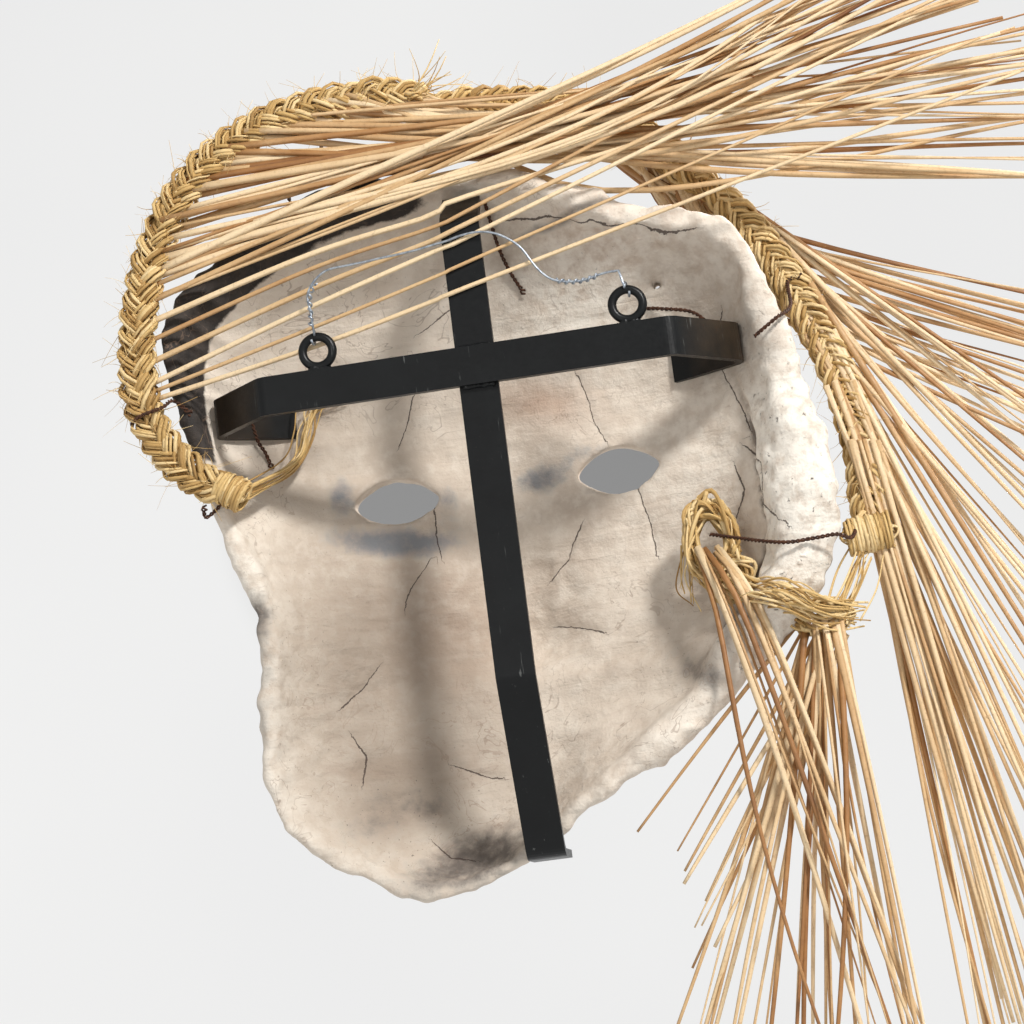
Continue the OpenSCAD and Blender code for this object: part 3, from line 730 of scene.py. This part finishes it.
def plait(name, route, width, depth, pitch, material, nodes, fuzz, spare=0):
    """Three strands of loose fibres, plaited, with frayed hairs."""
    path = spline(route, max(int(length_of(spline(route, 80)) / 2.2), 30))
    _, across, deep = frames(path)
    along = np.linspace(0, length_of(path), len(path))
    ends = np.minimum(smooth(along, -6, 22), smooth(along[-1] - along, -6, 22))
    wide, thick = width / 2 * (0.6 + 0.4 * ends), depth / 2 * (0.65 + 0.35 * ends)
    fibres = []
    for strand in range(3):
        phase = 2 * np.pi * (along / pitch + strand / 3)
        middle = (
            path
            + across * (wide * 0.56 * np.sin(phase))[:, None]
            + deep * (thick * 0.46 * np.sin(2 * phase))[:, None]
        )
        _, a, b = frames(middle)
        for k in range(13):
            ring = 0.0 if k == 0 else (0.5 if k < 5 else 0.95)
            turn = 2 * np.pi * k / (4 if k < 5 else 8) + along / 30 + rng.uniform(0, 0.6)
            spot = np.stack([along, along * 0 + 37 * k, along * 0 + 91 * strand], axis=1)
            wobble = 1 + 0.16 * vnoise(spot, 14, 21)
            line = (
                middle
                + a * (wide * 0.44 * ring * wobble * np.cos(turn))[:, None]
                + b * (thick * 0.5 * ring * wobble * np.sin(turn))[:, None]
            )
            size = rng.uniform(0.8, 1.25) * width / 20
            fibres.append((line, size, rng.uniform(0.45, 0.8), rng.uniform(0.2, 0.95)))
    for _ in range(fuzz):
        i = rng.integers(2, len(path) - 2)
        turn = rng.uniform(0, 2 * np.pi)
        out = across[i] * math.cos(turn) + deep[i] * math.sin(turn)
        start = (
            path[i]
            + across[i] * wide[i] * 0.8 * math.cos(turn)
            + deep[i] * thick[i] * 0.8 * math.sin(turn)
        )
        way = out + (path[i + 1] - path[i - 1]) * rng.uniform(-0.6, 0.6)
        fibres.append(hair(start, way, rng.uniform(3, 13), rng.uniform(0.1, 0.26)))
    for _ in range(spare):
        way = (path[-1] - path[-4]) / 3 + rng.normal(0, 0.8, 3) + (0, 0, 0.4)
        start = path[-3] + rng.normal(0, 3, 3)
        fibres.append(hair(start, way, rng.uniform(8, 26), rng.uniform(0.25, 0.6)))
    tubes(name, fibres, material, "mask", nodes)


def looped(centre, size, count, points, radius):
    """Fibres that wander round inside a lump."""
    fibres = []
    for _ in range(count):
        turn = rng.uniform(0, 2 * np.pi)
        p = []
        for k in range(points):
            turn += rng.uniform(0.9, 1.9)
            r = rng.uniform(0.45, 1.0)
            p.append(
                np.array(centre)
                + np.array(size) * (r * math.cos(turn), rng.uniform(-0.8, 0.8), r * math.sin(turn))
            )
        line = spline(p, points * 7)
        fibres.append((line, rng.uniform(*radius), rng.uniform(0.3, 0.6), rng.uniform(0.25, 1.0)))
    return fibres


def coiled(centre, axis, radius, width, turns, count, size):
    """Fibres wound round an axis."""
    axis = np.array(axis, float) / np.linalg.norm(axis)
    side = np.cross(axis, (0, 1, 0))
    side /= np.linalg.norm(side)
    other = np.cross(axis, side)
    fibres = []
    for k in range(count):
        t = np.linspace(0, 2 * np.pi * turns, int(turns * 14))
        shift = (k / max(count - 1, 1) - 0.5) * width
        r = radius * rng.uniform(0.85, 1.08)
        wave = 1 + 0.08 * np.sin(t * rng.uniform(0.4, 0.9) + k)
        line = (
            np.array(centre)
            + axis * (shift + 1.2 * np.sin(t / 3 + k))[:, None]
            + side * (r * wave * np.cos(t + k))[:, None]
            + other * (0.8 * r * wave * np.sin(t + k))[:, None]
        )
        fibres.append((line, rng.uniform(*size), rng.uniform(0.4, 0.7), rng.uniform(0.3, 1.0)))
    return fibres


def strands(points, count, spread, radius, fray=0.0):
    """A loose bundle of fibres that follows the points."""
    fibres = []
    for _ in range(count):
        offset = rng.normal(0, 1, 3) * spread
        p = [
            np.array(q) + offset * (1 - fray * 0.0) + rng.normal(0, 1, 3) * (0.35 * spread + fray * k)
            for k, q in enumerate(points)
        ]
        line = spline(p, 8 * len(p))
        size = rng.uniform(*radius)
        taper = np.linspace(1, 0.6, len(line))
        fibres.append((line, size * taper, rng.uniform(0.4, 0.8), rng.uniform(0.2, 1.0)))
    return fibres


# ---- Straws ----


def straw(points, radius, jitter):
    """One straw, slightly bowed and tapered, through nearly the given points."""
    p = [np.array(q, float) + rng.normal(0, 1, 3) * j for q, j in zip(points, jitter)]
    count = 16
    line = spline(p, count)
    t = np.linspace(0, 1, count)
    way = line[-1] - line[0]
    bow = np.cross(way / np.linalg.norm(way), rng.normal(0, 1, 3)) * rng.normal(0, 2.2)
    line = line + np.sin(np.pi * t)[:, None] * bow
    size = radius * (1.0 - 0.5 * t**1.3) * (1 + 0.05 * np.sin(9 * t + radius * 40))
    return line, size, rng.uniform(0.45, 0.8), float(np.clip(rng.beta(2.2, 1.7), 0, 1))


def between(first, last, share):
    first, last = np.array(first, float), np.array(last, float)
    return list(first + (last - first) * share)


# Radii in mm that the straws are picked from, and how many straws a lock has.
LEFT_RADII = (1.0, 1.7, 2.0, 2.2)
OTHER_RADII = (0.9, 1.5, 1.8, 2.0)
PER_LOCK = 9

# Each lock spreads from the first way to the last; left tips are x and z.
LEFT_TIPS = [
    (-205, 184), (-238, 182), (-268, 174), (-294, 160),
    (-312, 140), (-320, 116), (-318, 90), (-310, 64),
]
CROWN_WAYS = [
    (
        [(-57, -69, 152), (-136, -76, 78), (-318, -71, -2)],
        [(-57, -69, 139), (-134, -76, 64), (-316, -71, -26)],
    ),
    (
        [(-86, -68, 145), (-142, -72, 62), (-314, -67, -34)],
        [(-84, -68, 131), (-136, -72, 46), (-312, -67, -56)],
    ),
    (
        [(-112, -67, 124), (-148, -69, 42), (-310, -63, -62)],
        [(-104, -67, 111), (-140, -69, 24), (-308, -63, -84)],
    ),
]
RIGHT_WAYS = [
    ([(-140, -66, 88), (-312, -57, -96)], [(-126, -66, 84), (-300, -57, -132)]),
    ([(-159, -62, 56), (-290, -54, -160)], [(-145, -62, 52), (-282, -54, -190)]),
    ([(-172, -59, 28), (-272, -51, -215)], [(-158, -59, 24), (-264, -51, -245)]),
    ([(-181, -56, 2), (-258, -48, -262)], [(-167, -56, -2), (-252, -48, -290)]),
    ([(-188, -53, -26), (-248, -45, -310)], [(-175, -53, -26), (-240, -45, -335)]),
    ([(-194, -50, -58), (-232, -42, -345)], [(-181, -50, -58), (-216, -42, -365)]),
]
LOWER_WAYS = [
    (
        [(-98, -36, -104), (-112, -16, -160), (-150, -20, -376)],
        [(-108, -36, -106), (-128, -16, -160), (-176, -20, -370)],
    ),
    ([(-148, -33, -148), (-68, -36, -246)], [(-162, -33, -156), (-72, -36, -298)]),
    ([(-147, -29.5, -150), (-62, -32.5, -360)], [(-161, -29.5, -150), (-90, -32.5, -372)]),
    ([(-147, -26, -150), (-98, -29, -380)], [(-161, -26, -150), (-128, -29, -386)]),
    ([(-147, -22.5, -150), (-134, -24.5, -388)], [(-161, -22.5, -150), (-162, -24.5, -388)]),
    ([(-178, -54, -108), (-182, -46, -384)], [(-192, -54, -106), (-208, -46, -378)]),
]


def left_straws(i):
    """Rooted in the left band, drawn together above the temple, and spread again."""
    route = spline(LEFT_ROUTE, 200)
    tips = np.array(LEFT_TIPS, float)
    fibres = []
    for _ in range(PER_LOCK):
        share = (i + rng.uniform(0, 1)) / len(LEFT_TIPS)
        root = route[int((0.35 + 0.64 * share) * 199)] + rng.normal(0, 1, 3) * (1.5, 2, 1.5)
        y = -5 - 27 * share + rng.normal(0, 2.5)
        spot = share * 7 + rng.normal(0, 0.5)
        tip = (
            np.interp(spot, range(8), tips[:, 0]) + rng.uniform(-8, 22),
            y - 5 + rng.normal(0, 7),
            np.interp(spot, range(8), tips[:, 1]) + rng.normal(0, 6),
        )
        waist = (-72 + rng.normal(0, 10), y, 131 - 17 * share + rng.normal(0, 7))
        radius = rng.choice(LEFT_RADII) * rng.uniform(0.9, 1.1)
        fibres.append(straw([root, waist, tip], radius, (0, 0.5, 0)))
    return fibres


def way_straws(ways, end_jitter=7):
    first, last = ways
    fibres = []
    for _ in range(PER_LOCK):
        points = between(first, last, rng.uniform(-0.15, 1.15))
        jitter = [0.8] + [2.5] * (len(points) - 2) + [end_jitter]
        radius = rng.choice(OTHER_RADII) * rng.uniform(0.9, 1.1)
        fibres.append(straw(points, radius, jitter))
    return fibres


# ---- Wires ----


def helix(path, n, b, radius, turn):
    return path + n * (radius * np.cos(turn))[:, None] + b * (radius * np.sin(turn))[:, None]


def twisted(points, pitch=5.0, gap=0.62, radius=0.55):
    """Two wires twisted round each other along the points, with splayed ends."""
    path = spline(points, max(int(length_of(spline(points, 60)) / 0.9), 24))
    _, n, b = frames(path)
    along = np.linspace(0, length_of(path), len(path))
    made = []
    for k in (0, np.pi):
        turn = 2 * np.pi * along / pitch + k
        open_end = 1 + 1.6 * smooth(along, along[-1] - 5, along[-1])
        line = helix(path, n, b, gap * open_end, turn)
        made.append((line, radius, 1.0, rng.uniform(0.3, 0.7)))
    return made


# ---- Build ----

make_camera()
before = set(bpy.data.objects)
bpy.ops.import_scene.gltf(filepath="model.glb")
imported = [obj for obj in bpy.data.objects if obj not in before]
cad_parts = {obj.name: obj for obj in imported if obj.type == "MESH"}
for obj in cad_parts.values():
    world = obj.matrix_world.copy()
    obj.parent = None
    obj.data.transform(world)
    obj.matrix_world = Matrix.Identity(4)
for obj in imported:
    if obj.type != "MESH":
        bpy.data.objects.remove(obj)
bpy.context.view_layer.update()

CLAY = clay_look()
BLACK = black_look()
ZINC = steel_look("galvanised_wire", paint(120, 128, 138), paint(190, 198, 206), 0.42, 0.85)
RUST = steel_look("rusty_wire", paint(44, 28, 22), paint(98, 62, 42), 0.75, 0.35)
STRAW = fibre_look(
    "palm_straw",
    (
        (0.0, paint(112, 70, 36)),
        (0.22, paint(158, 112, 64)),
        (0.5, paint(197, 163, 118)),
        (0.85, paint(224, 200, 162)),
    ),
    520,
    0.5,
)
FIBRE = fibre_look(
    "palm_fibre",
    (
        (0.0, paint(116, 84, 42)),
        (0.3, paint(168, 132, 76)),
        (0.6, paint(198, 165, 106)),
        (0.9, paint(220, 194, 144)),
    ),
    480,
    0.72,
)

shell, clay_points, clay_angle, clay_share = clay_shell(CLAY)
clay_tree = BVHTree.FromPolygons(
    [v.co for v in shell.data.vertices], [p.vertices for p in shell.data.polygons]
)

for name in ("crossbar", "upright_bar", "left_ring", "right_ring"):
    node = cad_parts[name]
    node.data.materials.clear()
    node.data.materials.append(BLACK)
    if "bar" in name:
        rounding = node.modifiers.new("rounding", "BEVEL")
        rounding.width, rounding.segments, rounding.limit_method = 0.5 * MM, 2, "ANGLE"
        rounding.angle_limit = math.radians(40)
for name in ("crossing_weld", "left_ring_weld", "right_ring_weld"):
    bead = remeshed(name, BEAD_VOXEL)
    co = relax(bead, vertices_of(bead), 6)
    lump = 0.55 * vnoise(co, 2.6, 41) + 0.25 * vnoise(co, 1.2, 42)
    normals_of(bead, co + normals_of(bead, co) * lump[:, None])
    smoothed(bead)
    show(bead, name + "_bead", BLACK, "mask", [name])

plait("left_band", LEFT_ROUTE, 21, 11.5, 30, FIBRE, ["left_braid"], 620, spare=26)
plait("crown_band", CROWN_ROUTE, 21, 11.5, 30, FIBRE, ["crown_braid"], 260)
plait("right_band", RIGHT_ROUTE, 21, 11.5, 30, FIBRE, ["right_braid"], 320)

knot = np.array(LEFT_ROUTE[0], float)
tubes(
    "left_knot",
    coiled(knot, (9, 0, 6), 8, 13, 2.5, 16, (0.6, 1.2))
    + looped(knot, (11, 6, 9), 14, 6, (0.5, 1.0)),
    FIBRE, "mask", ["left_band_knot"],
)
tail = [knot + (-6, -1, -2), *on_clay((108, -28, 16), (101, -10, 12), (95, 6, 9), (78, 12, 8))]
tubes(
    "left_tail",
    strands(tail, 14, 2.0, (0.35, 0.9), 0.5),
    FIBRE, "mask", ["left_knot_tail"],
)

tangle = np.array(over_clay(-106, -104, 20))
tubes(
    "right_tangle",
    looped(tangle + (2, 0, 4), (15, 9, 27), 26, 8, (0.6, 1.5))
    + looped(tangle + (-6, 2, -16), (14, 8, 14), 14, 7, (0.5, 1.2))
    + strands(tangle + ((14, 0, 6), (18, -4, -10), (16, -4, -24)), 8, 2.0, (0.3, 0.7), 1.5),
    FIBRE, "mask", ["right_band_tangle"],
)
wrap = np.array((-184, -46, -107))
tubes(
    "right_wrap",
    coiled(wrap, (22, 1, -2), 9, 20, 2.5, 26, (0.5, 1.1)) + looped(wrap, (15, 7, 9), 12, 6, (0.4, 0.9)),
    FIBRE, "mask", ["right_band_wrap"],
)
gather = np.array((-154, -28, -148))
over_rim = [
    *(tangle + ((-4, 4, -18), (-16, 14, -28))), *(gather + ((18, 17, 12), (2, 8, 2), (-14, -2, 0)))
]
tubes(
    "right_gather",
    strands(over_rim, 40, 4.0, (0.5, 1.2))
    + looped(gather, (17, 8, 10), 24, 7, (0.5, 1.1))
    + strands(
        [gather + (-10, -2, 0), gather + (-20, -10, 16), wrap + (2, -2, -8)], 16, 3.5, (0.4, 0.9)
    ),
    FIBRE, "mask", ["right_band_gather"],
)

locks = [("left", left_straws, [(i,) for i in range(len(LEFT_TIPS))])]
locks += [("crown", way_straws, [(ways,) for ways in CROWN_WAYS])]
locks += [("right", way_straws, [(ways,) for ways in RIGHT_WAYS])]
locks += [("lower", way_straws, [(ways, 9) for ways in LOWER_WAYS])]
for kind, make, each in locks:
    for i, values in enumerate(each, 1):
        node = f"{kind}_straw_lock_{i}"
        tubes(f"{kind}_straws_{i}", make(*values), STRAW, "mask", [node])

LONE = [
    [(175, -20, 11), (80, -7, 24), (12, -2.8, 38), (-12, -2.8, 44), (-292, -9, 110)],
    [(176, -20.5, 15), (80, -7, 34), (12, -2.8, 50), (-12, -2.8, 57), (-275, -9, 131)],
    [(177, -21, 19), (80, -7, 45), (12, -2.8, 63), (-12, -2.8, 70), (-250, -9, 150)],
    [(178, -21, 30), (80, -10, 55), (12, -3.2, 69), (-12, -3.2, 77), (-262, -12, 158)],
    [(177, -22, 42), (80, -12, 66), (12, -4.5, 76), (-12, -4.5, 84), (-238, -14, 168)],
    [(176, -22, 52), (80, -13, 74), (12, -7, 83), (-12, -7, 91), (-286, -16, 134)],
]
taper = np.linspace(1, 0.6, 40)
lone = zip(LONE, (1.5, 1.2, 1.6, 1.7, 1.4, 1.8), (0.75, 0.5, 0.9, 0.6, 0.4, 0.8))
tubes(
    "lone_straws_loose",
    [(spline(way, len(taper)), radius * taper, 0.55, tint) for way, radius, tint in lone],
    STRAW, "mask", ["lone_straws"],
)

ties = {
    "left_foot_tie": on_clay(
        (131, 16, 0), (130, 11, 5.5), (128, 0, 5.6), (126, -11, 5.2), (123, -18, 3), (121, -26, 0)
    ),
    "right_foot_tie": on_clay(
        (-86, 31, 0), (-94, 29, 3), (-110, 24, 4), (-118, 14, 6), (-121, 0, 6)
    ),
    "top_foot_tie": on_clay(
        (-12, 92, 1), (-13, 84, 3), (-15, 70, 3), (-19, 58, 2), (-24, 48, 0)
    ),
    "left_braid_tie": [
        (185, -19, 0), (178, -12, 2), (166, -12, 5), at_rim(29, -8, 3), over_clay(154, 2, 0)
    ],
    "left_knot_tie": knot + ((3, -3, -2), (11, -5, -8), (16, -3, -11), (15, 1, -6)),
    "crown_tie": [
        (76, -35, 166), (74, -41, 160), (70, -45, 146), at_rim(65, 8, -16), at_rim(65, -5, -18)
    ],
    "right_braid_tie": [
        at_rim(151, -20, 0), at_rim(151, -6, 5), at_rim(150, 4, -8), (-162, -54, 32), (-170, -56, 34)
    ],
    "ear_tie": [
        tangle + (2, 0, 8), at_rim(192, -30, 0), at_rim(191, -14, 2), at_rim(190, -2, 0),
        at_rim(190, 5, -10), wrap + (6, 4, 3),
    ],
}
for name, points in ties.items():
    tubes(name + "_twist", twisted(points), RUST, "mask", [name], sides=6)

# The middle of the hanging wire as x and z, from the left ring to the right one.
WIRE = [
    (81, 39), (81, 50), (72, 60), (58, 62), (30, 63.6), (10, 65.6), (0, 68), (-11, 68.6),
    (-21, 65), (-30, 57), (-38, 44), (-46, 37), (-58, 34.6), (-70, 36.6), (-78, 37.2),
]
WIRE_Y = -0.6
RING_X, AXIS_Y, AXIS_Z = 80, -2.25, 27.15
EYE_RADIUS = 3.7
STILL_POINTS = 26


def eye(side):
    """One turn of the wire round the top of a ring."""
    t = np.radians(np.arange(0, 331, 15))
    x = RING_X * side + side * 2 * t / t[-1]
    return np.stack([x, AXIS_Y + EYE_RADIUS * np.cos(t), AXIS_Z + EYE_RADIUS * np.sin(t)], axis=1)


middle = spline([(x, WIRE_Y, z) for x, z in WIRE], 150)
line = np.vstack([eye(1)[::-1], middle, eye(-1)])
wobble = np.stack([vnoise(line, 13, 31), 0 * line[:, 0], vnoise(line, 13, 32)], axis=1) * 0.5
wobble[:STILL_POINTS] = wobble[-STILL_POINTS:] = 0
wires = [(line + wobble, 0.62, 1.0, 0.6)]
for points in (
    [(81.5, 0.2, 32), (81, -0.4, 40), (80.6, -0.4, 48), (77, -0.4, 55)],
    [(-67, -0.6, 36.2), (-60, -0.6, 34.8), (-52, -0.6, 35.2), (-46, -0.6, 37)],
):
    path = spline(points, 60)
    _, n, b = frames(path)
    turn = np.linspace(0, 2 * np.pi * 6, 60)
    wires.append((helix(path, n, b, 1.05, turn), 0.55, 1.0, 0.5))
tubes("wire_bail", wires, ZINC, "wire", ["hanging_wire"], sides=8)


# ---- Studio ----


# Where the line from the camera through the mask meets the paper, in metres.
SHADOW_X, SHADOW_Z = 0.565, 0.97


def studio():
    """A pale paper bowl that glows softly, and three lamps."""
    look = Look("studio_paper", rough=0.9)
    tone = look.ramp(look.noise(0.6, 2), (0.3, (0.7, 0.7, 0.7)), (0.7, (0.74, 0.74, 0.735)))
    tone = look.mix(look.step(look.place(1), -1.5, 4.5), tone, (0.42, 0.42, 0.42))
    # The mask's own soft shadow on the paper straight behind it.
    aside = look.calc("POWER", look.minus(look.place(0), SHADOW_X), 2.0)
    above = look.calc("POWER", look.minus(look.place(2), SHADOW_Z), 2.0)
    away = look.calc("MAXIMUM", look.plus(aside, above), look.plus(look.place(1), 5.0))
    tone = look.mix(look.step(away, 0.16, 0.62), (0.15, 0.15, 0.15), tone)
    paper = look.ramp(look.noise(0.5, 2), (0.3, 0.12), (0.7, 0.13))
    look.set(Base_Color=paper, Emission_Color=tone, Emission_Strength=1.0)
    profile = [(0, -1.2), (3.4, -1.2), (4.4, -1.05), (5.1, -0.6), (5.4, 0.2), (5.5, 1.5), (5.5, 5.0)]
    steps = 96
    points = [
        (r * math.cos(2 * math.pi * k / steps), r * math.sin(2 * math.pi * k / steps), z)
        for r, z in profile
        for k in range(steps)
    ]
    faces = [
        (low + k, low + (k + 1) % steps, low + steps + (k + 1) % steps, low + steps + k)
        for low in range(0, (len(profile) - 1) * steps, steps)
        for k in range(steps)
    ]
    mesh = bpy.data.meshes.new("paper_bowl")
    mesh.from_pydata(points, [], faces)
    smoothed(mesh)
    mesh.materials.append(look.material)
    bowl = bpy.data.objects.new("paper_bowl", mesh)
    bpy.context.scene.collection.objects.link(bowl)
    world = bpy.data.worlds.new("studio")
    bpy.context.scene.world = world
    world.use_nodes = True
    world.node_tree.nodes["Background"].inputs[0].default_value = (0.85, 0.87, 0.9, 1)
    world.node_tree.nodes["Background"].inputs[1].default_value = 0.5
    for name, place, size, power in (
        ("key", (-1.7, 2.2, 1.8), 0.5, 120),
        ("fill", (1.4, 3.2, -0.2), 2.0, 16),
        ("front", (-2.5, -2.0, 1.7), 0.6, 150),
    ):
        data = bpy.data.lights.new(name, "AREA")
        data.shape, data.size, data.energy = "DISK", size, power
        data.color = (1.0, 0.985, 0.965)
        light = bpy.data.objects.new(name, data)
        light.location = place
        light.rotation_mode = "QUATERNION"
        light.rotation_quaternion = (Vector(place) - Vector((0, 0, -0.08))).to_track_quat("Z", "Y")
        bpy.context.scene.collection.objects.link(light)
    bpy.context.scene.view_settings.view_transform = "Standard"


studio()
